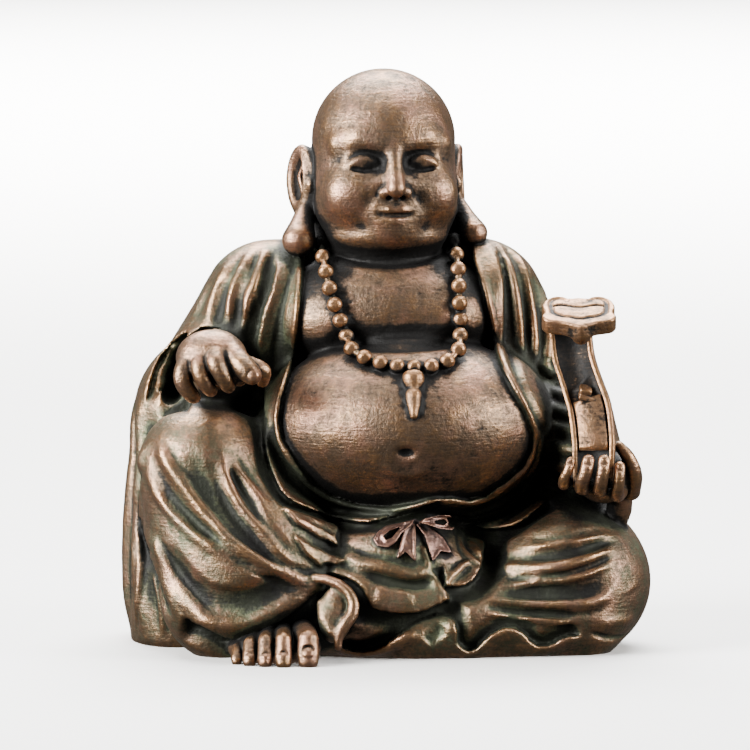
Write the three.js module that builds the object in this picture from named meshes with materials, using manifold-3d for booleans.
// A seated monk in bronze-finished cast resin: one knee raised, beads round the neck, and the
// left hand holding a cloud-headed sceptre. Millimetres, +Z up, and the figure faces -Y. The
// origin is on the underside, below the middle of the figure's box.
import * as THREE from "three";
import { mergeVertices } from "three/addons/utils/BufferGeometryUtils.js";
import Module from "manifold-3d";

// Driving dimensions, in millimetres.
const HEIGHT = 160; // underside to crown
const BEAD_DIAMETER = 4.3;
const PENDANT_LENGTH = 14.5;
const SCEPTRE_WIDTH = 10.4; // shaft, across its two rails
const SCEPTRE_THICKNESS = 4.2;
const SCEPTRE_HEAD_WIDTH = 20.5;
const SCEPTRE_HEAD_THICKNESS = 4;
const FINGER_DIAMETER = 3.2;
const TOE_DIAMETER = 3.4;
const ROBE_THICKNESS = 2.6; // at the lapels, over the bare chest
const HEAD_TURN = 8; // degrees, to the figure's left

// How fine the carving is: the triangles kept, and the grid steps in hundredths of the height.
const TRIANGLES = 9400;
const BODY_CELL = 0.85;
const HEAD_CELL = 0.7;
const HAND_CELL = 0.5;
const BOW_CELL = 0.4;

// Places and carving below are shares of the height: UNIT is one hundredth of it.
const UNIT = HEIGHT / 100;
// The front is drawn as seen from a little above: what stands forward by 1 looks lower by this.
const VIEW_SLOPE = 0.087;

// A place seen at (x, v) in the front view and standing forward of the middle plane by d.
const at = (x, v, d) => [x, -d, v + VIEW_SLOPE * d];

const clamp01 = (t) => Math.min(1, Math.max(0, t));
const smooth = (t) => clamp01(t) ** 2 * (3 - 2 * clamp01(t));

// A rounded cross-section: s runs from 0 at its middle to 1 at its foot.
const roll = (s) => (1 - s * s) ** 2;

// A solid held as signed distances on a grid of points, which blends, folds and hollows shape.
class Clay {
  static FAR = 50;

  constructor(low, high, cell) {
    this.low = low;
    this.cell = cell;
    this.size = low.map((a, i) => Math.ceil((high[i] - a) / cell) + 1);
    this.field = new Float32Array(this.size[0] * this.size[1] * this.size[2]).fill(Clay.FAR);
  }

  // Calls change(distance, x, y, z) for every grid point in a box, and keeps what it returns.
  within(low, high, change) {
    const [nx, ny] = this.size;
    const first = low.map((a, i) => Math.max(0, Math.ceil((a - this.low[i]) / this.cell)));
    const last = high.map((a, i) =>
      Math.min(this.size[i] - 1, Math.floor((a - this.low[i]) / this.cell)),
    );
    for (let k = first[2]; k <= last[2]; k++) {
      const z = this.low[2] + k * this.cell;
      for (let j = first[1]; j <= last[1]; j++) {
        const y = this.low[1] + j * this.cell;
        for (let i = first[0]; i <= last[0]; i++) {
          const n = i + nx * (j + ny * k);
          this.field[n] = change(this.field[n], this.low[0] + i * this.cell, y, z);
        }
      }
    }
  }

  // Adds a shape, with a fillet of about the blend's size where it meets the rest.
  add(shape, blend = 1) {
    const reach = blend + 4;
    this.within(
      shape.low.map((a) => a - reach),
      shape.high.map((a) => a + reach),
      (old, x, y, z) => {
        const near = shape.distance(x, y, z);
        const h = clamp01(0.5 + (near - old) / (2 * blend));
        return near * (1 - h) + old * h - blend * h * (1 - h);
      },
    );
    return this;
  }

  // Takes a shape away.
  carve(shape, blend = 0.5) {
    this.within(
      shape.low.map((a) => a - blend),
      shape.high.map((a) => a + blend),
      (old, x, y, z) => {
        const near = -shape.distance(x, y, z);
        const h = clamp01(0.5 - (near - old) / (2 * blend));
        return near * (1 - h) + old * h + blend * h * (1 - h);
      },
    );
    return this;
  }

  // Evens out what is finer than the grid can hold.
  soften(share = 0.25) {
    const [nx, ny] = this.size;
    for (const step of [1, nx, nx * ny]) {
      const before = this.field.slice();
      for (let n = step; n < before.length - step; n++)
        this.field[n] += share * (before[n - step] - 2 * before[n] + before[n + step]);
    }
    return this;
  }

  // The distance at any place, from the eight grid points round it.
  sample(x, y, z) {
    const [nx, ny, nz] = this.size;
    const place = [x, y, z].map((a, i) => (a - this.low[i]) / this.cell);
    const i = Math.floor(place[0]);
    const j = Math.floor(place[1]);
    const k = Math.floor(place[2]);
    if (i < 0 || j < 0 || k < 0 || i >= nx - 1 || j >= ny - 1 || k >= nz - 1) return Clay.FAR;
    const [a, b, c] = [place[0] - i, place[1] - j, place[2] - k];
    const value = (di, dj, dk) => this.field[i + di + nx * (j + dj + ny * (k + dk))];
    const row = (dj, dk) => value(0, dj, dk) * (1 - a) + value(1, dj, dk) * a;
    const sheet = (dk) => row(0, dk) * (1 - b) + row(1, dk) * b;
    return sheet(0) * (1 - c) + sheet(1) * c;
  }

  // Walks from start along a direction until it meets the surface.
  meet(start, direction, longest = 110) {
    const step = this.cell / 2;
    let before = Clay.FAR;
    for (let s = 0; s < longest; s += step) {
      const now = this.sample(...start.map((a, i) => a + direction[i] * s));
      if (now < 0) {
        const back = s - (step * now) / (now - before);
        return start.map((a, i) => a + direction[i] * back);
      }
      before = now;
    }
    return null;
  }

  // Lays a line of control points on the surface: (x, v) from the front, (x, z) from the back,
  // (y, z) from either side.
  lay(points, view = "front") {
    const flat = new THREE.CatmullRomCurve3(points.map(([a, b]) => new THREE.Vector3(a, b, 0)));
    const count = Math.max(4, Math.ceil(flat.getLength() / 1.4));
    const line = [];
    for (const { x: a, y: b } of flat.getSpacedPoints(count)) {
      const hit = {
        front: () => this.meet([a, -60, b + VIEW_SLOPE * 60], [0, 1, -VIEW_SLOPE]),
        ahead: () => this.meet([a, -60, b], [0, 1, 0]),
        back: () => this.meet([a, 60, b], [0, -1, 0]),
        left: () => this.meet([-60, a, b], [1, 0, 0]),
        right: () => this.meet([60, a, b], [-1, 0, 0]),
      }[view]();
      if (hit) line.push(hit);
    }
    const depth = view === "left" || view === "right" ? 0 : 1;
    for (let pass = 0; pass < 3; pass++) {
      const before = line.map((p) => p[depth]);
      for (let n = 1; n < line.length - 1; n++)
        line[n][depth] = (before[n - 1] + 2 * before[n] + before[n + 1]) / 4;
    }
    return line;
  }

  // Moves the surface along a line laid on it. profile gives the share of the height at a
  // signed distance from the line, above zero on the left of its direction.
  lift(points, { height, reach, ends = 0.2, view = "front" }, profile) {
    const line = this.lay(points, view);
    if (line.length < 2) return this;
    const [u, facing] = { front: [0, 1], ahead: [0, 1], back: [0, -1], left: [1, -1], right: [1, 1] }[view];
    const [low, high] = boxOf(line, reach);
    this.within(low, high, (old, x, y, z) => {
      const [distance, t, n] = nearest(line, x, y, z);
      if (distance >= reach) return old;
      const [p, q] = [line[n], line[n + 1]];
      const here = [x, y, z];
      const turn = (q[u] - p[u]) * (here[2] - p[2]) - (q[2] - p[2]) * (here[u] - p[u]);
      const taper = Math.min(1, smooth(t / ends), smooth((1 - t) / ends));
      return old - height * taper * profile(turn * facing > 0 ? distance : -distance);
    });
    return this;
  }

  // A fold: sharp on its line and hollow beside it. One side can be steeper, with a valley below.
  fold(points, { width = 3, height = 1.2, steep = 0, valley = 0.35, ...rest } = {}) {
    return this.lift(points, { height, reach: width * 1.6, ...rest }, (d) => {
      const narrow = steep * d > 0 ? 1 - 0.6 * Math.abs(steep) : 1;
      const s = (Math.hypot(d, 0.6 * this.cell) - 0.6 * this.cell) / (width * narrow);
      const foot = Math.abs(s - 1.1) / 0.9;
      return (s < 1 ? (1 - s) ** 2 : 0) - (foot < 1 ? valley * roll(foot) : 0);
    });
  }

  // A rounded swelling, or with a negative height a rounded valley.
  swell(points, { width = 3, height = 1, ...rest } = {}) {
    return this.lift(points, { height, reach: width, ...rest }, (d) => roll(Math.abs(d) / width));
  }

  // A cloth edge: the left of the line stands proud, and the right is cut back under it.
  edge(points, { height = 1, under = 0, fade = 5, soft = 0.5, ...rest } = {}) {
    return this.lift(points, { height: 1, reach: fade, ends: 0.12, ...rest }, (d) => {
      const up = smooth(0.5 + d / Math.max(soft, 1.6 * this.cell));
      return (height * up - under * (1 - up)) * roll(Math.abs(d) / fade);
    });
  }

  // A patch of cloth inside an outline of the front view, standing proud of what is round it.
  patch(outline, { height = 1, soft = 0.5, deepest = 12 } = {}) {
    const middle = outline.reduce((sum, [x, v]) => [sum[0] + x, sum[1] + v], [0, 0]);
    const [mx, mv] = middle.map((c) => c / outline.length);
    const hit = this.lay([[mx, mv], [mx + 0.5, mv], [mx + 1, mv]])[0];
    const [low, high] = boxOf(outline.map(([x, v]) => [x, hit[1], v - VIEW_SLOPE * hit[1]]), 2);
    low[1] -= deepest;
    high[1] += deepest;
    this.within(low, high, (old, x, y, z) => {
      const gap = signedGap(outline, x, z + VIEW_SLOPE * y);
      return old - height * smooth(0.5 - gap / Math.max(soft, 1.6 * this.cell));
    });
    return this;
  }

  // The zero surface as a closed mesh: each grid cube is cut into six tetrahedra, and the
  // grid's outer layer counts as outside.
  surface() {
    const [nx, ny, nz] = this.size;
    this.field.forEach((f, n) => {
      const [i, j, k] = [n % nx, Math.floor(n / nx) % ny, Math.floor(n / (nx * ny))];
      const rim = i % (nx - 1) === 0 || j % (ny - 1) === 0 || k % (nz - 1) === 0;
      if (rim) this.field[n] = Math.max(f, 0.2 * this.cell);
    });
    const steps = [0, 1, 1 + nx, nx, nx * ny, 1 + nx * ny, 1 + nx + nx * ny, nx + nx * ny];
    const tetrahedra = [[0, 5, 1, 6], [0, 1, 2, 6], [0, 2, 3, 6], [0, 3, 7, 6], [0, 7, 4, 6], [0, 4, 5, 6]];
    const positions = [];
    const triangles = [];
    const made = new Map();
    const place = (n) => [
      this.low[0] + (n % nx) * this.cell,
      this.low[1] + (Math.floor(n / nx) % ny) * this.cell,
      this.low[2] + Math.floor(n / (nx * ny)) * this.cell,
    ];
    const crossing = (inner, outer) => {
      const key = inner < outer ? inner * this.field.length + outer : outer * this.field.length + inner;
      if (!made.has(key)) {
        const [a, b] = [this.field[inner], this.field[outer]];
        const t = Math.min(0.95, Math.max(0.05, a / (a - b)));
        const [p, q] = [place(inner), place(outer)];
        made.set(key, positions.length / 3);
        positions.push(...p.map((c, i) => c + (q[i] - c) * t));
      }
      return made.get(key);
    };
    for (let k = 0; k < nz - 1; k++)
      for (let j = 0; j < ny - 1; j++)
        for (let i = 0; i < nx - 1; i++) {
          const n = i + nx * (j + ny * k);
          let filled = 0;
          for (const s of steps) filled += this.field[n + s] < 0;
          if (filled === 0 || filled === 8) continue;
          for (const corners of tetrahedra) {
            const at4 = corners.map((c) => n + steps[c]);
            const inside = at4.filter((m) => this.field[m] < 0);
            const outside = at4.filter((m) => this.field[m] >= 0);
            if (!inside.length || !outside.length) continue;
            // The order of the four corners tells which way round the cut faces.
            const odd = parity(at4, [...inside, ...outside]);
            const cut = (a, b) => crossing(a, b);
            let ring;
            if (inside.length === 1) ring = outside.map((o) => cut(inside[0], o));
            else if (outside.length === 1) ring = inside.map((m) => cut(m, outside[0]));
            else
              ring = [
                cut(inside[0], outside[0]),
                cut(inside[0], outside[1]),
                cut(inside[1], outside[1]),
                cut(inside[1], outside[0]),
              ];
            if (odd) ring.reverse();
            triangles.push([ring[0], ring[1], ring[2]]);
            if (ring.length === 4) triangles.push([ring[0], ring[2], ring[3]]);
          }
        }
    return { positions, triangles };
  }
}

// Whether one order of four things is an odd shuffle of another.
function parity(first, second) {
  const order = second.map((m) => first.indexOf(m));
  let swaps = 0;
  for (let a = 0; a < 4; a++) for (let b = a + 1; b < 4; b++) swaps += order[a] > order[b];
  return swaps % 2 === 1;
}

function boxOf(line, margin) {
  const low = [0, 1, 2].map((i) => Math.min(...line.map((p) => p[i])) - margin);
  const high = [0, 1, 2].map((i) => Math.max(...line.map((p) => p[i])) + margin);
  return [low, high];
}

// How far a place is from a line of points, how far along it (0 to 1) and on which stretch.
function nearest(line, x, y, z) {
  let best = Infinity;
  let along = 0;
  let stretch = 0;
  for (let n = 0; n < line.length - 1; n++) {
    const [p, q] = [line[n], line[n + 1]];
    const [ux, uy, uz] = [q[0] - p[0], q[1] - p[1], q[2] - p[2]];
    const [wx, wy, wz] = [x - p[0], y - p[1], z - p[2]];
    const t = clamp01((ux * wx + uy * wy + uz * wz) / (ux * ux + uy * uy + uz * uz + 1e-9));
    const gap = (wx - ux * t) ** 2 + (wy - uy * t) ** 2 + (wz - uz * t) ** 2;
    if (gap < best) {
      best = gap;
      along = (n + t) / (line.length - 1);
      stretch = n;
    }
  }
  return [Math.sqrt(best), along, stretch];
}

// An ellipsoid, turned about X, Y and Z by degrees.
function ellipsoid(centre, radii, turn = [0, 0, 0]) {
  const largest = Math.max(...radii);
  const turned = new THREE.Matrix4()
    .makeRotationFromEuler(new THREE.Euler(...turn.map(THREE.MathUtils.degToRad)))
    .transpose();
  const point = new THREE.Vector3();
  return {
    low: centre.map((c) => c - largest),
    high: centre.map((c) => c + largest),
    distance(x, y, z) {
      point.set(x - centre[0], y - centre[1], z - centre[2]).applyMatrix4(turned);
      const [a, b, c] = [point.x / radii[0], point.y / radii[1], point.z / radii[2]];
      const near = Math.hypot(a, b, c);
      const slope = Math.hypot(a / radii[0], b / radii[1], c / radii[2]);
      return slope < 1e-9 ? -Math.min(...radii) : (near * (near - 1)) / slope;
    },
  };
}

// A limb through places [x, y, z, radius], thicker or thinner from one to the next.
function limb(...joints) {
  const largest = Math.max(...joints.map((j) => j[3]));
  const [low, high] = boxOf(joints, largest);
  return {
    low,
    high,
    distance(x, y, z) {
      let least = Infinity;
      for (let n = 0; n < joints.length - 1; n++) {
        const [gap, t] = nearest([joints[n], joints[n + 1]], x, y, z);
        least = Math.min(least, gap - (joints[n][3] * (1 - t) + joints[n + 1][3] * t));
      }
      return least;
    },
  };
}


// The bare chest and belly show inside this outline, drawn in the front view from the
// figure's right collar, down its right side, under the belly and up its left side.
const OPENING = [
  [-13.5, 75], [-14.2, 66], [-15, 57], [-15.8, 49.7], [-18, 42.2], [-18.4, 38.5], [-17.9, 35.4],
  [-15.4, 31.2], [-12.6, 27.4], [-9.3, 25.2], [-5.1, 23.8], [0, 23.3], [5, 24], [8.8, 25],
  [11.4, 25.1], [14, 24.6], [17, 25.3], [20.5, 27.8], [23.5, 30.5], [25, 33.5], [25.2, 36.6],
  [24, 40.1], [22.1, 43.1], [20.3, 46.4], [18.9, 50.6], [18, 55.3], [17, 60.5], [15.5, 66], [13.5, 75],
];

// How far a place is from a closed outline of the front view: below zero inside it.
function signedGap(outline, x, v) {
  let gap = Infinity;
  let inside = false;
  for (let n = 0; n < outline.length; n++) {
    const [ax, av] = outline[n];
    const [bx, bv] = outline[(n + 1) % outline.length];
    const [ex, ev] = [bx - ax, bv - av];
    const t = clamp01(((x - ax) * ex + (v - av) * ev) / (ex * ex + ev * ev));
    gap = Math.min(gap, (x - ax - t * ex) ** 2 + (v - av - t * ev) ** 2);
    if (av > v !== bv > v && x < ax + (ex * (v - av)) / ev) inside = !inside;
  }
  return inside ? -Math.sqrt(gap) : Math.sqrt(gap);
}

const LOW = [-52, -50, -6];
const HIGH = [52, 36, 104];

function skin(cell) {
  return new Clay(LOW, [52, 36, 80], cell)
    .add(ellipsoid([0, -4, 58], [20, 14, 11]))
    .add(ellipsoid([-8.5, -9, 56.5], [8.5, 8, 6.5]), 2)
    .add(ellipsoid([9, -9, 56.5], [8.5, 8, 6.5]), 2)
    .add(ellipsoid([3.6, -13, 39.2], [24.5, 20.5, 15.5]), 1.2)
    .add(limb([0, -1, 58, 11], [0, -2.5, 76, 9.5]), 2)
    .swell([[-11, 53.2], [-5, 51.6], [2, 51.2], [9, 51.7], [15, 52.6]], { width: 3, height: -1.2 })
    .carve(ellipsoid(at(3.4, 32, 34.2), [2.4, 2.2, 1.3]), 0.8);
}

function robe(cell) {
  return new Clay(LOW, [52, 36, 80], cell)
    .add(ellipsoid([-1, 4, 42], [29, 19, 28]))
    .add(limb([-19.5, 0, 57.5, 11.5], [0, 5, 61, 11], [15.5, 0, 58.5, 11.5]), 4)
    .add(ellipsoid([0, 4, 13], [38, 25, 20]), 5)
    .add(ellipsoid([0, 7, 27], [33, 20, 30]), 6)
    // The collar, round the back of the neck.
    .add(
      limb(
        [-16.5, -3, 66.5, 2], [-12.5, 5, 69.4, 2.4], [0, 10, 70.6, 2.6], [12, 5, 69.6, 2.4],
        [16, -3, 67, 2],
      ),
      2,
    )
    // The arm over the raised knee, and the arm that holds the sceptre.
    .add(limb([-20, 0, 57.5, 11], [-31, 0, 45, 9.5], [-30, -20, 50.5, 5.5]), 3)
    .add(limb([16, 0, 58, 11], [30.5, 0, 41, 9.2], [35, -12, 39, 7.5], [36.5, -17, 34, 6.5]), 3)
    .add(ellipsoid([31, -5, 27], [9, 10, 8]), 3)
    // The raised leg, with the cloth that falls from its knee.
    .add(limb([-11, -2, 20, 13], [-31.5, -19, 31.5, 11.5], [-27.5, -23, 10, 11.5]), 3)
    .add(ellipsoid([-22, -22, 15], [14, 13, 17], [0, -20, 0]), 4)
    // The leg that lies on the ground.
    .add(limb([12, -2, 15, 13], [30, -10, 13, 13]), 3)
    .add(ellipsoid([31, -12, 11.5], [15, 17, 14]), 3)
    .add(limb([33, -20, 6, 8], [6, -24, 5, 8]), 3)
    // The lap, and the skirt in front of it.
    .add(ellipsoid([0, -16, 9], [26, 16, 12]), 3)
    .add(ellipsoid([1, -18, 15], [14, 13, 11]), 3)
    // The cloth that hangs outside the raised knee.
    .add(ellipsoid([-36.5, 0, 14], [9, 16, 35]), 4);
}

// The robe's edge, where it opens over the chest: a step down onto the bare skin.
function openRobe(cloth, bare) {
  const layer = ROBE_THICKNESS / UNIT;
  cloth.within(LOW, HIGH, (old, x, y, z) => {
    const gap = signedGap(OPENING, x, z + VIEW_SLOPE * y);
    const near = bare.sample(x, y, z) - layer * smooth(gap / 1.6 + 0.5);
    const h = clamp01(0.5 + (near - old) / 3);
    const joined = near * (1 - h) + old * h - 1.5 * h * (1 - h);
    return Math.max(joined, -Math.max(gap, y + 3 + 0.4 * Math.max(0, 50 - z)));
  });
  cloth.field.forEach((f, n) => {
    cloth.field[n] = Math.min(f, bare.field[n]);
  });
  return cloth;
}

// The rolled rims of the opening.
function lapels(clay) {
  return clay
    .fold(
      [
        [-15, 68], [-15.2, 66], [-15.6, 60.2], [-16, 54.5], [-16.6, 49.7], [-17.7, 45.4],
        [-18.8, 42.2], [-19.3, 38.5], [-18.7, 35], [-16.2, 30.6], [-13.2, 26.4], [-9.7, 24.3],
        [-5.1, 22.9], [-0.9, 22.6], [3, 23], [6.5, 24], [8.6, 24.4],
      ],
      { width: 1.4, height: 1, valley: 0.2, ends: 0.05 },
    )
    .fold(
      [
        [14.8, 68.3], [16.8, 63.7], [18, 60.2], [18.9, 55.3], [19.8, 50.6], [21.2, 46.4],
        [23, 43.3], [24.9, 40.3], [26.1, 36.7], [25.9, 33.4], [24.3, 30], [21.2, 27], [17.4, 24.5],
        [14, 23.7], [11.4, 24.2], [8.8, 24.2],
      ],
      { width: 1.4, height: 1, valley: 0.2, ends: 0.05 },
    );
}

function shoulderFolds(clay) {
  return clay
    // The figure's right shoulder, from the collar down to the wrist.
    .swell([[-26, 62], [-28.5, 58], [-28.8, 54.5]], { width: 2, height: -0.9 })
    .swell([[-24.8, 63.5], [-25.3, 58.5], [-25.2, 53]], { width: 1.6, height: -1.1 })
    .fold(
      [[-23.5, 68.1], [-25.6, 64.4], [-26.6, 60.9], [-27.1, 57.4], [-27.1, 54.5], [-25.9, 51.5]],
      { width: 2.2, height: 1.5 },
    )
    .fold(
      [[-21.2, 67.3], [-22.1, 63], [-23.3, 60.5], [-24.2, 57.4], [-24, 53.2]],
      { width: 1.8, height: 1.4 },
    )
    .fold([[-22.8, 61.5], [-22.1, 58.7], [-21.7, 54.1]], { width: 1.3, height: 0.9 })
    .fold([[-27, 66.5], [-30, 61], [-31.5, 57], [-32, 54.5]], { width: 3, height: 0.8 })
    .edge(
      [
        [-18.9, 67], [-19.6, 60.9], [-20.7, 58], [-21.7, 53.6], [-22, 48.9], [-21.4, 43.6],
        [-20.7, 36.6], [-17.7, 29.6],
      ],
      { height: 0.9, under: 1.3, fade: 4 },
    )
    .swell([[-17, 58], [-18.5, 52], [-19.5, 46], [-20, 41]], { width: 1.5, height: -0.5 })
    // The figure's left shoulder.
    .edge(
      [[20, 44], [20, 53.2], [20.3, 57.3], [20, 63.4], [17.4, 69.5]],
      { height: 0.6, under: 0.9, fade: 3 },
    )
    .fold(
      [[18, 70.1], [20.4, 67.4], [21.8, 64.3], [22.7, 60.2], [23.5, 56.7], [24.5, 51.3], [24.5, 45.2]],
      { width: 2, height: 1.5 },
    )
    .fold(
      [[20.7, 69], [23, 66.9], [24.6, 64.3], [25.6, 61.3], [26.3, 56.7], [27, 52.4], [27.4, 46]],
      { width: 1.8, height: 1.4 },
    )
    .fold([[22, 46], [22.5, 40], [24, 35]], { width: 1.8, height: 1 })
    .fold([[29.5, 50], [29.6, 46], [28, 40], [28.5, 34]], { width: 1.8, height: 1 })
    // The sleeve, bunched behind the sceptre.
    .fold([[28.5, 47.5], [31, 46.2], [36, 46.4], [40, 48]], { width: 1.7, height: 1.3 })
    .fold([[28, 43.4], [31, 42], [37, 42.4], [41, 44.2]], { width: 1.7, height: 1.3 })
    .fold([[28, 39.4], [31, 37.6], [37, 38], [41.5, 40]], { width: 1.7, height: 1.3 })
    .fold([[28.5, 35.4], [31, 33.6], [37, 34], [41.5, 36]], { width: 1.7, height: 1.2 });
}

function kneeFolds(clay) {
  return clay
    .swell([[-34.5, 36], [-31, 29], [-25, 23.5], [-17.5, 18.5]], { width: 4, height: -1.4 })
    .swell([[-37, 17], [-31, 9], [-22, 6.5], [-15, 8]], { width: 5, height: -1.8 })
    .swell([[-24, 31], [-21.5, 24], [-18.5, 17]], { width: 2.4, height: -1.2 })
    .fold(
      [
        [-43, 36], [-42.4, 32], [-41, 28], [-38.8, 24], [-34.2, 19.3], [-29.5, 16.2], [-24.5, 14],
        [-19, 12.3], [-13.5, 10.2],
      ],
      { width: 3.6, height: 1.8, steep: -0.3 },
    )
    .fold(
      [
        [-38.5, 35.5], [-37, 30.6], [-35, 26.6], [-32, 23.1], [-29, 20.2], [-26, 17.6],
        [-22.4, 15.6], [-18.2, 13],
      ],
      { width: 2.8, height: 1.6, steep: 0.3 },
    )
    .fold(
      [[-29.5, 35], [-27.5, 29.8], [-25.7, 25.5], [-22.8, 21.2], [-20, 18], [-17.5, 15], [-14, 12.4]],
      { width: 2.8, height: 1.5, steep: 0.3 },
    )
    .fold(
      [[-27, 33.5], [-24.2, 29.2], [-21.4, 25.7], [-19, 21.5], [-16.8, 16.8]],
      { width: 2, height: 1.1 },
    )
    .fold(
      [
        [-42.6, 24.3], [-41, 17.7], [-38, 10.9], [-35, 6], [-30.3, 4.2], [-25.7, 3.1], [-21, 3.8],
        [-17, 6.2], [-13, 9.2],
      ],
      { width: 2.8, height: 1.5, ends: 0.15 },
    );
}

function hems(clay) {
  return clay
    // The rolled corner of the knee's cloth, beside the big toe.
    .add(
      limb([...at(-8.4, 8.6, 32), 2.7], [...at(-8.6, 4.4, 34.5), 2.5], [...at(-7.8, 0.6, 35.5), 1.1]),
      0.8,
    )
    // The cuff that hangs beside the hand.
    .edge(
      [
        [-44.4, 36], [-42.4, 40.8], [-41, 44.3], [-39.4, 47.8], [-37.4, 50.4], [-34.3, 53.1],
        [-30.3, 54.2], [-26, 53],
      ],
      { height: 0.9, under: 2.6, fade: 5, soft: 1.2 },
    )
    // The hem that sweeps over the foot.
    .edge(
      [
        [-35, 3.5], [-30.3, 2.3], [-25.7, 1.4], [-22.1, 1.8], [-18.2, 4.2], [-14.5, 6.8],
        [-11, 9.2], [-8.4, 9.8],
      ],
      { height: 0.5, under: 5, fade: 6, ends: 0.08 },
    )
    // The side cloth, where the knee's cloth overlaps it.
    .edge(
      [[-40, 30], [-42.6, 21], [-41.5, 15], [-38.6, 8], [-35.5, 1]],
      { height: 0.4, under: 2, fade: 4 },
    )
    // The belly band.
    .edge(
      [
        [-17.7, 29.6], [-14.2, 25.2], [-10.7, 22.9], [-8.2, 21.4], [-5.1, 20.5], [-2.3, 20.5],
        [1.4, 21], [4.9, 22.9], [8.4, 24.3],
      ],
      { height: 0.9, under: 2, fade: 3.5 },
    )
    .edge(
      [
        [8.4, 23], [12, 23.6], [15.8, 23.9], [19, 24.6], [21.5, 26.6], [24, 29.5], [26.4, 32.5],
        [27, 37],
      ],
      { height: 0.6, under: 1.2, fade: 3 },
    )
    .patch(
      [
        [-17.3, 23.8], [-13, 22.9], [-8.1, 20.7], [-8.4, 18.2], [-7.9, 16.5], [-11, 17.9],
        [-15.4, 20.5], [-18.2, 21.9],
      ],
      { height: 1 },
    )
    .patch(
      [[-15.8, 19.1], [-12.3, 16.6], [-6.7, 14.2], [-8.2, 13.5], [-10.7, 13.7], [-11, 13], [-14, 15.5]],
      { height: 0.9 },
    )
    // The left flank's cloth, falling onto the thigh.
    .edge(
      [[13.2, 20], [16.8, 19.2], [20.1, 19.3], [23.1, 20.7], [26.8, 22.9], [30.5, 25.5]],
      { height: 0.9, under: 1.8, fade: 4 },
    )
    .swell([[16, 21.5], [20, 22.3], [24, 25], [26, 28]], { width: 1.6, height: -1 })
    // The apron's hem, and its folded side.
    .edge(
      [
        [-10.8, 12.5], [-8.5, 11.3], [-6, 10.3], [-4, 8.2], [-3.3, 6.5], [-2.3, 5.3], [-0.4, 4.7],
        [2.6, 4.4], [5.8, 4.6], [8.2, 5.3], [10.5, 7.5], [12.8, 9.3], [14.9, 10.3], [16.3, 12.6],
        [17.5, 15.8], [17.3, 18.5],
      ],
      { height: 1, under: 3.2, fade: 5, ends: 0.06 },
    )
    .swell([[14.6, 19], [13.4, 17.5], [13.6, 15.8], [15, 14]], { width: 1.4, height: -0.9 })
    .fold(
      [[-7, 15.6], [-3.5, 14], [0.5, 12.9], [4.6, 12], [8, 13], [10.8, 15]],
      { width: 2.4, height: 1.3 },
    )
    .swell([[-3, 11], [2, 9.8], [7, 10.8]], { width: 2, height: -0.7 })
    // The hem on the ground, which winds in and out.
    .edge(
      [
        [-8.5, 1.5], [-7, -0.9], [-4.7, -1.9], [-2.5, -2.1], [-0.4, -1.4], [2.1, 0], [4.6, 1.6],
        [7, 3.2], [9.5, 4.2], [11.4, 3.9], [12.2, 2.4], [12, 0.7], [12.5, -0.9], [13.9, -1.9],
        [15.4, -1.5], [17, -0.2], [19.3, 1.4], [21.9, 2], [23.6, 1], [24.5, -0.4], [25.8, -1.4],
        [27.5, -1.5], [29.2, -0.8], [31, 0.1], [34, 0.3],
      ].reverse(),
      { height: 1.3, under: 1.6, fade: 3.6, ends: 0.05 },
    );
}

function thighFolds(clay) {
  return clay
    .swell([[22.5, 15.3], [28.5, 16], [34.5, 17], [38.5, 17]], { width: 2, height: -1.6 })
    .swell([[25.2, 11.6], [30.5, 12.3], [35.7, 13.5]], { width: 1.5, height: -0.9 })
    .swell([[26, 8.4], [32.2, 8.9], [36.6, 10.7], [39.2, 12.8]], { width: 2.4, height: -1.6 })
    .swell([[15, 5.9], [23.5, 5.4], [30.5, 5.1], [34, 4.7]], { width: 1.7, height: -1.5 })
    .fold([[20, 17.4], [26, 16.9], [33.6, 18.3], [39.6, 18.3]], { width: 1.8, height: 0.5, valley: 0 })
    .fold(
      [[17.7, 14.2], [21.5, 13], [26.4, 12.8], [31.5, 13.5], [35.6, 14.6], [38.5, 15.9], [42, 17.6]],
      { width: 2.2, height: 1.5 },
    )
    .fold([[25, 9.6], [30.1, 10.5], [33.6, 11.9], [37.7, 14], [41.2, 16]], { width: 1.8, height: 1.2 })
    .fold(
      [[15.8, 7.6], [20.5, 6.9], [25.6, 6.6], [30.5, 6.8], [34.5, 7.2]],
      { width: 1.8, height: 1.2 },
    )
    .fold(
      [[16.5, 4.9], [22.4, 4.2], [28.5, 3.4], [32.6, 2.4], [36.6, 1.9], [41.9, 1.9]],
      { width: 1.8, height: 1.1 },
    )
    .fold([[35.7, 3.4], [39.6, 4], [44, 4.4]], { width: 1.8, height: 0.8 });
}

function sideFolds(clay) {
  for (const [y, lean] of [[-9, -1.5], [-2, 0.5], [5, 2], [11, 3]]) {
    clay.fold(
      [[y + 2, 44], [y, 28], [y + lean, 14], [y + 1.5 * lean, 1]],
      { width: 3.4, height: 1.5, view: "left", steep: 0.4 },
    );
  }
  return clay;
}

function backFolds(clay) {
  for (let n = -3; n <= 3; n++) {
    clay.fold(
      [[n * 3.4, 63], [n * 6, 40], [n * 8.5, 20], [n * 10.5, 4]],
      { width: 4, height: 1.2, view: "back", steep: n % 2 ? 0.4 : -0.4 },
    );
  }
  return clay;
}

function body(cell) {
  const bare = skin(cell);
  const clay = robe(cell);
  shoulderFolds(clay);
  openRobe(clay, bare).soften();
  lapels(clay);
  sideFolds(clay);
  kneeFolds(clay);
  thighFolds(clay);
  backFolds(clay);
  hems(clay);
  return clay.soften(0.12);
}

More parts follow.
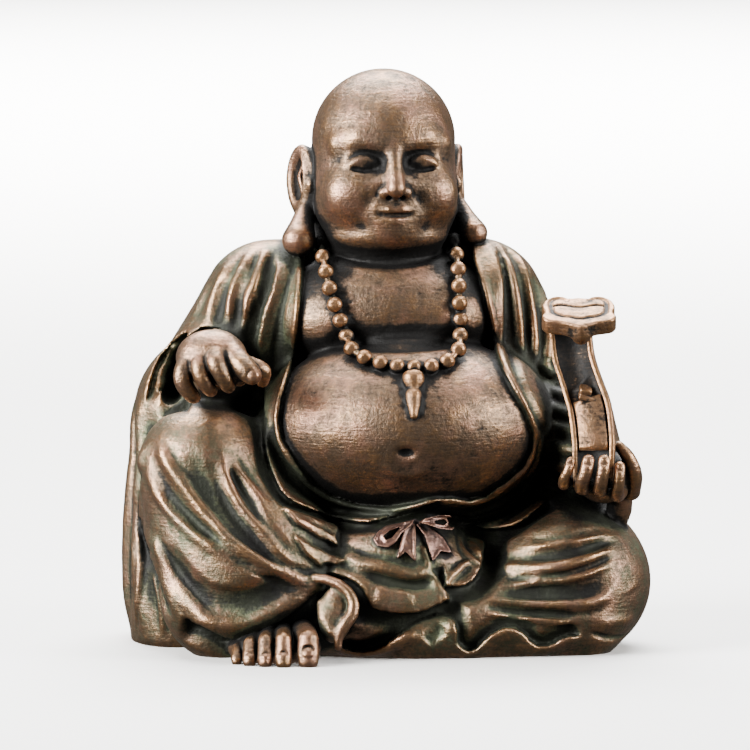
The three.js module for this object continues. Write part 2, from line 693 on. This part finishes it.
// The head, made facing straight ahead: the face is a plain, calm one on even proportions,
// with the eyes at half the head's height and the nose and mouth at the usual thirds below.
function head(cell) {
  const clay = new Clay([-21, -22, 58], [21, 17, 103], cell)
    .add(ellipsoid([0, -1, 87.6], [12.5, 13.6, 12.4]))
    .add(ellipsoid([0, -4.5, 79.5], [12.3, 11.5, 10.3]), 3)
    .add(limb([0, -1, 60, 10.5], [0, -3, 74, 9.5]), 1)
    .add(ellipsoid([0, -8.5, 70.4], [8.6, 7, 3]), 1.5);
  for (const side of [-1, 1]) {
    clay
      .add(ellipsoid([side * 7, -11, 78.6], [4.4, 3.8, 4.4]), 2.5)
      .add(
        limb([side * 9.4, -10.2, 87, 0.8], [side * 5.8, -12.7, 88.3, 1], [side * 2.2, -13.4, 87, 0.8]),
        2,
      )
      .carve(ellipsoid([side * 5, -15.2, 84.4], [3.5, 2.6, 2]), 1.6)
      .add(ellipsoid([side * 5, -11.6, 84], [2.8, 2.3, 2]), 0.4);
  }
  clay
    .add(limb([0, -13.2, 87.4, 1.1], [0, -15.4, 83, 1.2], [0, -16.6, 79.9, 1.6]), 1.2)
    .add(ellipsoid([0, -14, 72.6], [3.6, 2.6, 2.2]), 1.8)
    .add(ellipsoid([0, -14.1, 75.4], [4.4, 1.6, 2.1]), 1.6);
  for (const side of [-1, 1]) {
    const mirror = (points) => points.map(([x, z]) => [side * x, z]);
    clay
      .add(ellipsoid([side * 1.9, -15, 79.2], [1.3, 1.5, 1.1]), 0.6)
      // Lids, laid over the eye: the upper one hangs low.
      .fold(
        mirror([[2.3, 83.7], [3.6, 84.6], [5.2, 84.9], [6.8, 84.4], [8, 83.4]]),
        { width: 0.9, height: 0.5, view: "ahead" },
      )
      .swell(
        mirror([[2.5, 83.4], [3.8, 83.1], [5.3, 82.9], [6.8, 83.1], [7.8, 83.5]]),
        { width: 0.6, height: -0.5, view: "ahead" },
      )
      .swell(
        mirror([[2.8, 79.9], [4.3, 78.3], [5, 76.4], [4.9, 74.8]]),
        { width: 1.3, height: -0.6, view: "ahead" },
      );
  }
  clay
    .add(
      limb(
        [-3.3, -15, 75.9, 0.35], [-1, -15.9, 76.3, 0.7], [0, -15.9, 76.1, 0.6],
        [1, -15.9, 76.3, 0.7], [3.3, -15, 75.9, 0.35],
      ),
      0.5,
    )
    .add(limb([-2.6, -15, 74.9, 0.4], [0, -15.7, 74.4, 0.85], [2.6, -15, 74.9, 0.4]), 0.5)
    .swell(
      [[-3.9, 75.9], [-2.2, 75.3], [0, 75.3], [2.2, 75.3], [3.9, 75.9]],
      { width: 0.7, height: -0.6, view: "ahead" },
    );
  // Long-lobed ears.
  for (const [side, low] of [[-1, [-16.2, -1.5, 71.2, 2.8]], [1, [15.4, -3, 72, 2.7]]]) {
    clay
      .add(ellipsoid([side * 12.8, 1.5, 80], [2.3, 3.2, 6.4], [0, side * 8, 0]), 1)
      .add(
        limb(
          [side * 12.6, -1.6, 82.4, 0.8], [side * 13.7, 0, 85.4, 0.9], [side * 14.6, 2.6, 85.6, 1],
          [side * 15.4, 4, 82, 1.1], [side * 15, 3, 77, 1.3], [side * 14.6, 0.8, 74, 2], low,
        ),
        0.6,
      )
      .carve(ellipsoid([side * 15.4, 0.4, 80.6], [1.4, 1.8, 3.6]), 0.5);
  }
  return clay;
}

// A finger through places [x, v, d] of the front view, with its thickness as a share.
function finger(...joints) {
  const r = FINGER_DIAMETER / 2 / UNIT;
  return limb(...joints.map(([x, v, d, share = 1]) => [...at(x, v, d), share * r]));
}

// The hand over the raised knee, and the one that holds the sceptre.
function restingHand(cell) {
  return new Clay([-41, -42, 38], [-15, -14, 61], cell)
    .add(limb([-30, -16, 52, 4.6], [...at(-30, 50.8, 26), 4.2]))
    .add(ellipsoid(at(-31, 50, 30), [5.6, 4.2, 3.4], [-25, 0, 0]), 1.5)
    .add(ellipsoid(at(-26.5, 50.6, 30), [4, 4, 3]), 1.5)
    .add(
      finger([-35.4, 49.6, 31, 1.3], [-36.6, 46.6, 34.5], [-35.8, 43.6, 34.4], [-33.8, 42.1, 33.2, 0.9]),
      0.35,
    )
    .add(
      finger([-32.9, 49.8, 32, 1.3], [-34, 47.4, 35.8], [-32.6, 44.6, 35.4], [-30.7, 43.2, 34, 0.9]),
      0.35,
    )
    .add(
      finger([-30.2, 50, 32, 1.3], [-31.2, 48.6, 36.4], [-29.4, 45.6, 36], [-27.4, 43.6, 34.4, 0.9]),
      0.35,
    )
    .add(finger([-27.2, 50.3, 32, 1.3], [-26.2, 49.4, 34.4], [-22.6, 47.6, 32.4, 1.2]), 0.35)
    .add(
      finger([-28.6, 52.4, 28, 1.3], [-25.6, 51.4, 35, 1.2], [-23, 46.2, 36.4, 1.15], [-22.6, 45.6, 36, 1]),
      0.35,
    );
}

function holdingHand(cell) {
  return new Clay([27, -37, 21], [48, -8, 42], cell)
    .add(limb([36, -11, 33, 5.4], [...at(38, 28.5, 21), 4.6]))
    .add(ellipsoid(at(37.6, 27.6, 22), [6, 4, 4.4]), 1.5)
    .add(finger([31.8, 26, 24, 1.1], [31.9, 27, 28.4], [32.3, 31.6, 29.6, 0.9]), 0.3)
    .add(finger([34.8, 25.6, 24.4, 1.1], [35, 26.8, 29], [35.3, 31.6, 30, 0.9]), 0.3)
    .add(finger([37.8, 25.2, 24.4, 1.1], [38, 26.4, 29], [38.2, 31.4, 29.8, 0.9]), 0.3)
    .add(finger([40.8, 24.6, 23.4, 1.1], [41, 25.6, 28], [41, 30.4, 28.6, 0.85]), 0.3)
    .add(finger([42.6, 27, 20, 1.4], [42.9, 29.2, 25, 1.15], [40.8, 33.4, 26, 1]), 0.4);
}

function foot(cell) {
  const clay = new Clay([-32, -46, -2], [-8, -18, 12], cell)
    .add(ellipsoid([-20, -31, 2.4], [7.8, 8, 4.6]));
  const r = TOE_DIAMETER / 2 / UNIT;
  const toes = [
    [-13.7, 42.4, 1.8], [-17.8, 42.8, 1.28], [-20.9, 41.8, 1.12], [-23.6, 40.4, 1.02],
    [-25.9, 38.6, 0.85],
  ];
  for (const [x, d, size] of toes) {
    clay.add(
      limb(
        [x * 0.8 - 4, -32, 2.6, r * size * 1.1], [x, -(d - 2.6), 2.9, r * size * 0.9],
        [x, -(d - r * size), 1.9, r * size],
      ),
      0.35,
    );
  }
  return clay;
}

// The tied bow at the waist: two flattened loops, a knot and two forked tails.
function bow(cell, under) {
  const clay = new Clay([-5, -44, 12], [16, -24, 26], cell);
  const cord = (...joints) => limb(...joints.map(([x, v, out, thick = 0.55]) => {
    const [[, y, z]] = under.lay([[x, v], [x, v + 0.1], [x, v + 0.2]]);
    return [x, y - out, z - VIEW_SLOPE * out, thick];
  }));
  return clay
    .add(cord([5, 21.2, 0.2, 1.2], [5.2, 21, 1.2, 1.2]))
    .add(
      cord([3.4, 20.4, 1], [0, 19.6, 1.3], [-2.2, 18.2, 0.9], [-1, 17, 1], [1.6, 18, 1.5], [3.6, 20, 1.2]),
      0.4,
    )
    .add(cord([0, 18.4, 0.2, 1], [2, 19.2, 0.2, 1]), 0.4)
    .add(
      cord(
        [6.2, 21, 1], [9.6, 21.6, 1.3], [12, 20.6, 0.9], [11.2, 19.3, 1], [8.4, 19.6, 1.5],
        [6.6, 20.6, 1.2],
      ),
      0.4,
    )
    .add(cord([8.4, 20.4, 0.2, 1], [10, 20.4, 0.2, 1]), 0.4)
    .add(cord([4.3, 20.6, 0.8, 0.8], [2.6, 17.2, 0.5, 0.9], [2, 14.6, 0.4, 0.7]), 0.4)
    .add(cord([4.4, 20.6, 0.8, 0.7], [4.2, 17.4, 0.5, 0.8], [4.8, 14.6, 0.4, 0.6]), 0.4)
    .add(cord([5.8, 20.6, 0.8, 0.7], [7, 17.8, 0.5, 0.8], [7.8, 14.8, 0.4, 0.6]), 0.4)
    .add(cord([6.2, 20.6, 0.8, 0.8], [8.6, 18.4, 0.5, 0.9], [10.8, 16, 0.4, 0.7]), 0.4);
}

// Beads on the string round the neck, with the drop that hangs from the lowest.
function beads(clay) {
  const string = clay.lay([
    [-11.4, 70.6], [-10.7, 66], [-9.6, 60.8], [-7.4, 54.5], [-5.3, 50.6], [-1.1, 48.5],
    [4.6, 47.6], [9.5, 48.4], [12.1, 50.6], [12.8, 54.1], [12.6, 60.2], [12.4, 66], [11.6, 70.6],
  ]);
  const r = BEAD_DIAMETER / 2 / UNIT;
  clay.add(limb(...string.map(([x, y, z]) => [x, y + 0.25 * r, z, 0.75 * r])), 0.5);
  const curve = new THREE.CatmullRomCurve3(string.map((p) => new THREE.Vector3(...p)));
  const shapes = [];
  const count = Math.round(curve.getLength() / (2.2 * r));
  for (const { x, y, z } of curve.getSpacedPoints(count)) {
    shapes.push(new THREE.IcosahedronGeometry(r, 2).translate(x, y - 0.45 * r, z));
  }
  const laid = clay.lay([[4.6, 46.4], [4.6, 45], [4.7, 41], [4.7, 38]]);
  const from = new THREE.Vector3(...laid[0]);
  const along = new THREE.Vector3(...laid[laid.length - 1]).sub(from).normalize();
  const lean = new THREE.Quaternion().setFromUnitVectors(new THREE.Vector3(0, -1, 0), along);
  const length = PENDANT_LENGTH / UNIT;
  // A ball, a waist and a long drop, from the tip up: half-widths and heights as shares.
  const drop = [
    [0, 1], [0.07, 0.93], [0.11, 0.78], [0.155, 0.6], [0.165, 0.48], [0.13, 0.4], [0.165, 0.33],
    [0.215, 0.22], [0.195, 0.1], [0.1, 0.02], [0, 0],
  ];
  const profile = drop.map(([w, h]) => new THREE.Vector2(w * length, -h * length));
  const hung = new THREE.LatheGeometry(profile, 12).applyQuaternion(lean);
  shapes.push(hung.translate(from.x, from.y - 0.07 * length, from.z + 0.07 * length));
  return { string, shapes };
}

// A bar swept through places, its outline given as [across, out] pairs.
function bar(places, outline) {
  const positions = [];
  const triangles = [];
  const count = outline.length;
  places.forEach(([x, y, z, wide, lean], n) => {
    const before = places[Math.max(0, n - 1)];
    const after = places[Math.min(places.length - 1, n + 1)];
    const run = new THREE.Vector3(
      after[0] - before[0], after[1] - before[1], after[2] - before[2],
    ).normalize();
    const out = new THREE.Vector3(Math.sin(lean), -Math.cos(lean), 0);
    out.addScaledVector(run, -out.dot(run)).normalize();
    const across = new THREE.Vector3().crossVectors(run, out);
    for (const [a, b] of outline)
      positions.push(
        x + across.x * a * wide + out.x * b,
        y + across.y * a * wide + out.y * b,
        z + across.z * a * wide + out.z * b,
      );
    if (n === 0) return;
    for (let m = 0; m < count; m++) {
      const [a, b] = [(n - 1) * count + m, (n - 1) * count + ((m + 1) % count)];
      triangles.push([a, a + count, b], [b, a + count, b + count]);
    }
  });
  const faces = THREE.ShapeUtils.triangulateShape(outline.map(([a, b]) => new THREE.Vector2(a, b)), []);
  const last = (places.length - 1) * count;
  for (const [a, b, c] of faces) triangles.push([a, b, c], [last + c, last + b, last + a]);
  return geometryOf({ positions, triangles });
}

function sceptre() {
  const wide = SCEPTRE_WIDTH / 2 / UNIT;
  const thick = SCEPTRE_THICKNESS / UNIT;
  // Two rails with a sunk band between them.
  const outline = [
    [-1, -0.5 * thick], [1, -0.5 * thick], [1, 0.5 * thick], [0.66, 0.5 * thick],
    [0.58, 0.15 * thick], [-0.58, 0.15 * thick], [-0.66, 0.5 * thick], [-1, 0.5 * thick],
  ];
  const stem = [
    [31.6, 55.6, 19.5, 0.85], [32.6, 52, 18.5, 0.95], [34, 47.5, 19, 1], [34.9, 44, 20.2, 1],
    [35.7, 38.4, 23, 1], [36.3, 32.8, 26, 1], [36.4, 26, 26.5, 0.95],
  ];
  const shaft = bar(stem.map(([x, v, d, w]) => [...at(x, v, d), w * wide, -0.1]), outline);
  const knob = new THREE.BoxGeometry(2.15 * wide, 1.3 * thick, 0.73 * wide)
    .rotateX(0.3)
    .translate(...at(34.9, 44, 20.6));
  const panel = new THREE.BoxGeometry(1.1 * wide, 0.6 * thick, 9)
    .rotateY(0.09)
    .rotateX(0.33)
    .translate(...at(35.8, 37.8, 24.1));
  // The cloud-shaped head, with three lobes to the front and a scroll at each side behind.
  const half = SCEPTRE_HEAD_WIDTH / 2 / UNIT;
  const thin = SCEPTRE_HEAD_THICKNESS / UNIT;
  const rim = Array.from({ length: 40 }, (_, n) => {
    const turn = (Math.PI * n) / 20;
    const lobes = 1 + 0.09 * Math.cos(5 * turn + Math.PI / 2);
    return new THREE.Vector2(0.95 * Math.cos(turn), 0.82 * Math.sin(turn)).multiplyScalar(half * lobes);
  });
  const plate = new THREE.ExtrudeGeometry(new THREE.Shape(rim), {
    depth: 0.5 * thin,
    bevelThickness: 0.25 * thin,
    bevelSize: 0.2 * thin,
    bevelOffset: -0.2 * thin,
    bevelSegments: 2,
  })
    .translate(0, 0, -0.25 * thin)
    .rotateX(0.33)
    .translate(...at(34, 57, 22));
  const neck = new THREE.CylinderGeometry(0.5 * wide, 0.72 * wide, 7, 12)
    .rotateX(Math.PI / 2 - 0.7)
    .translate(...at(32.4, 54.6, 19.8));
  return [shaft, knob, panel, plate, neck];
}

function geometryOf({ positions, triangles }) {
  return new THREE.BufferGeometry()
    .setAttribute("position", new THREE.BufferAttribute(new Float32Array(positions), 3))
    .setIndex(triangles.flat());
}

// A smallest-first queue.
class Queue {
  items = [];

  push(item) {
    const { items } = this;
    let n = items.push(item) - 1;
    while (n > 0) {
      const up = (n - 1) >> 1;
      if (items[up].cost <= item.cost) break;
      items[n] = items[up];
      n = up;
    }
    items[n] = item;
  }

  pop() {
    const { items } = this;
    const first = items[0];
    const item = items.pop();
    if (!items.length) return first;
    let n = 0;
    for (;;) {
      let down = 2 * n + 1;
      if (down >= items.length) break;
      if (down + 1 < items.length && items[down + 1].cost < items[down].cost) down++;
      if (items[down].cost >= item.cost) break;
      items[n] = items[down];
      n = down;
    }
    items[n] = item;
    return first;
  }
}

// Fewer triangles for the same shape: edges are closed up one by one, the one that moves the
// surface least first, each to the place that is nearest to all the planes round it.
function simplify({ positions, triangles }, target, weightAt) {
  const count = positions.length / 3;
  const place = (v) => [positions[3 * v], positions[3 * v + 1], positions[3 * v + 2]];
  const normalOf = (p, q, r) => {
    const [ax, ay, az] = [q[0] - p[0], q[1] - p[1], q[2] - p[2]];
    const [bx, by, bz] = [r[0] - p[0], r[1] - p[1], r[2] - p[2]];
    return [ay * bz - az * by, az * bx - ax * bz, ax * by - ay * bx];
  };
  const round = Array.from({ length: count }, () => []);
  const planes = Array.from({ length: count }, () => new Float64Array(10));
  const stamp = new Uint32Array(count);
  triangles.forEach((t, n) => {
    const normal = normalOf(...t.map(place));
    const size = Math.hypot(...normal);
    for (const v of t) round[v].push(n);
    if (size < 1e-12) return;
    const [a, b, c] = normal.map((m) => m / size);
    const p = place(t[0]);
    const d = -(a * p[0] + b * p[1] + c * p[2]);
    const w = size * weightAt(...p);
    const plane = [a * a, a * b, a * c, a * d, b * b, b * c, b * d, c * c, c * d, d * d];
    for (const v of t) for (let m = 0; m < 10; m++) planes[v][m] += w * plane[m];
  });
  const error = (q, [x, y, z]) =>
    q[0] * x * x + q[4] * y * y + q[7] * z * z + q[9] +
    2 * (q[1] * x * y + q[2] * x * z + q[3] * x + q[5] * y * z + q[6] * y + q[8] * z);
  const queue = new Queue();
  const consider = (u, v) => {
    const q = planes[u].map((m, n) => m + planes[v][n]);
    const [p, r] = [place(u), place(v)];
    const middle = p.map((a, n) => (a + r[n]) / 2);
    const near = Math.hypot(p[0] - r[0], p[1] - r[1], p[2] - r[2]);
    let best = [middle, p, r].map((c) => ({ c, e: error(q, c) })).sort((a, b) => a.e - b.e)[0];
    const [a, b, c, d, e, f, g, h, i] = [q[0], q[1], q[2], q[1], q[4], q[5], q[2], q[5], q[7]];
    const det = a * (e * i - f * h) - b * (d * i - f * g) + c * (d * h - e * g);
    if (Math.abs(det) > 1e-6 * (a + e + i) ** 3) {
      const [k, l, m] = [-q[3], -q[6], -q[8]];
      const fit = [
        (k * (e * i - f * h) - b * (l * i - f * m) + c * (l * h - e * m)) / det,
        (a * (l * i - f * m) - k * (d * i - f * g) + c * (d * m - l * g)) / det,
        (a * (e * m - l * h) - b * (d * m - l * g) + k * (d * h - e * g)) / det,
      ];
      const far = Math.hypot(fit[0] - middle[0], fit[1] - middle[1], fit[2] - middle[2]);
      if (far < 1.5 * near) best = { c: fit, e: error(q, fit) };
    }
    queue.push({ cost: best.e + 1e-7 * near * near, u, v, c: best.c, at: stamp[u] + stamp[v] });
  };
  for (const [a, b, c] of triangles) {
    if (a < b) consider(a, b);
    if (b < c) consider(b, c);
    if (c < a) consider(c, a);
  }
  const gone = new Uint8Array(triangles.length);
  let left = triangles.length;
  while (left > target && queue.items.length) {
    const { u, v, c, at: when } = queue.pop();
    if (!round[u] || !round[v] || when !== stamp[u] + stamp[v]) continue;
    const beside = (m) => new Set(round[m].flatMap((n) => triangles[n]));
    const [byU, byV] = [beside(u), beside(v)];
    let shared = 0;
    for (const m of byU) shared += m !== u && m !== v && byV.has(m);
    if (!byU.has(v) || shared !== 2) continue;
    // No triangle that stays may turn over or shrink to a sliver.
    const joins = (n) => triangles[n].includes(u) && triangles[n].includes(v);
    const stays = [...round[u], ...round[v]].filter((n) => !joins(n));
    const bad = stays.some((n) => {
      const corners = triangles[n];
      const before = normalOf(...corners.map(place));
      const moved = corners.map((m) => (m === u || m === v ? c : place(m)));
      const after = normalOf(...moved);
      const [s, t] = [Math.hypot(...before), Math.hypot(...after)];
      const longest = Math.max(...moved.map((p, m) => {
        const q = moved[(m + 1) % 3];
        return (p[0] - q[0]) ** 2 + (p[1] - q[1]) ** 2 + (p[2] - q[2]) ** 2;
      }));
      const along = before[0] * after[0] + before[1] * after[1] + before[2] * after[2];
      return along < 0.3 * s * t || t < 0.02 * longest;
    });
    if (bad) continue;
    for (const n of round[u].filter(joins)) {
      gone[n] = 1;
      left--;
    }
    for (const n of stays) triangles[n] = triangles[n].map((m) => (m === v ? u : m));
    [positions[3 * u], positions[3 * u + 1], positions[3 * u + 2]] = c;
    for (let m = 0; m < 10; m++) planes[u][m] += planes[v][m];
    round[u] = stays;
    round[v] = null;
    stamp[u] += stamp[v] + 1;
    const neighbours = new Set(stays.flatMap((n) => triangles[n]));
    neighbours.delete(u);
    for (const m of neighbours) {
      round[m] = round[m].filter((n) => !gone[n]);
      consider(u, m);
    }
  }
  const kept = new Map();
  const out = [];
  const index = triangles.filter((_, n) => !gone[n]).map((t) =>
    t.map((v) => {
      if (!kept.has(v)) {
        kept.set(v, out.length / 3);
        out.push(...place(v));
      }
      return kept.get(v);
    }),
  );
  return { positions: out, triangles: index };
}

const wasm = await Module();
wasm.setup();

function solid(geometry) {
  const bare = new THREE.BufferGeometry()
    .setAttribute("position", geometry.getAttribute("position"))
    .setIndex(geometry.getIndex());
  const merged = mergeVertices(bare, 1e-4);
  return new wasm.Manifold(
    new wasm.Mesh({
      numProp: 3,
      vertProperties: new Float32Array(merged.getAttribute("position").array),
      triVerts: new Uint32Array(merged.getIndex().array),
    }),
  );
}

// Everything joined into one body, cut off flat below, with the crumbs of carving left out.
function cast(trunk, strung) {
  const turned = geometryOf(head(HEAD_CELL).surface())
    .rotateZ(THREE.MathUtils.degToRad(HEAD_TURN))
    .translate(-0.6, 0, 0);
  const carved = [
    trunk,
    restingHand(HAND_CELL),
    holdingHand(HAND_CELL),
    foot(HAND_CELL),
    bow(BOW_CELL, trunk),
  ].map((clay) => geometryOf(clay.surface()));
  const ground = solid(new THREE.BoxGeometry(200, 200, 60).translate(0, 0, -30));
  return wasm.Manifold.union([...carved, turned, ...strung.shapes, ...sceptre()].map(solid))
    .subtract(ground)
    .decompose()
    .sort((a, b) => b.volume() - a.volume())[0]
    .getMesh();
}

function budaiFigure() {
  const trunk = body(BODY_CELL);
  const strung = beads(trunk);
  const { vertProperties, triVerts } = cast(trunk, strung);
  const triangles = [];
  for (let n = 0; n < triVerts.length; n += 3) triangles.push([...triVerts.slice(n, n + 3)]);
  // The beads, face, hands and foot are small, so they keep more of their shape, and the
  // plainer back keeps less.
  const weight = (x, y, z) => {
    if (nearest(strung.string, x, y, z)[0] < 2.4) return 10;
    if (z > 70 || y < -33) return 4;
    return y > 5 ? 0.5 : 1;
  };
  const geometry = geometryOf(
    simplify({ positions: Array.from(vertProperties), triangles }, TRIANGLES, weight),
  ).scale(UNIT, UNIT, UNIT);
  geometry.computeBoundingBox();
  const { min, max } = geometry.boundingBox;
  geometry.translate(-(min.x + max.x) / 2, -(min.y + max.y) / 2, -min.z);
  const bronze = new THREE.MeshStandardMaterial({ color: "#7a6450", roughness: 0.45, metalness: 0.8 });
  const mesh = new THREE.Mesh(geometry, bronze);
  mesh.name = "budai_figure";
  return mesh;
}

const group = new THREE.Group();
group.add(budaiFigure());
export default group;
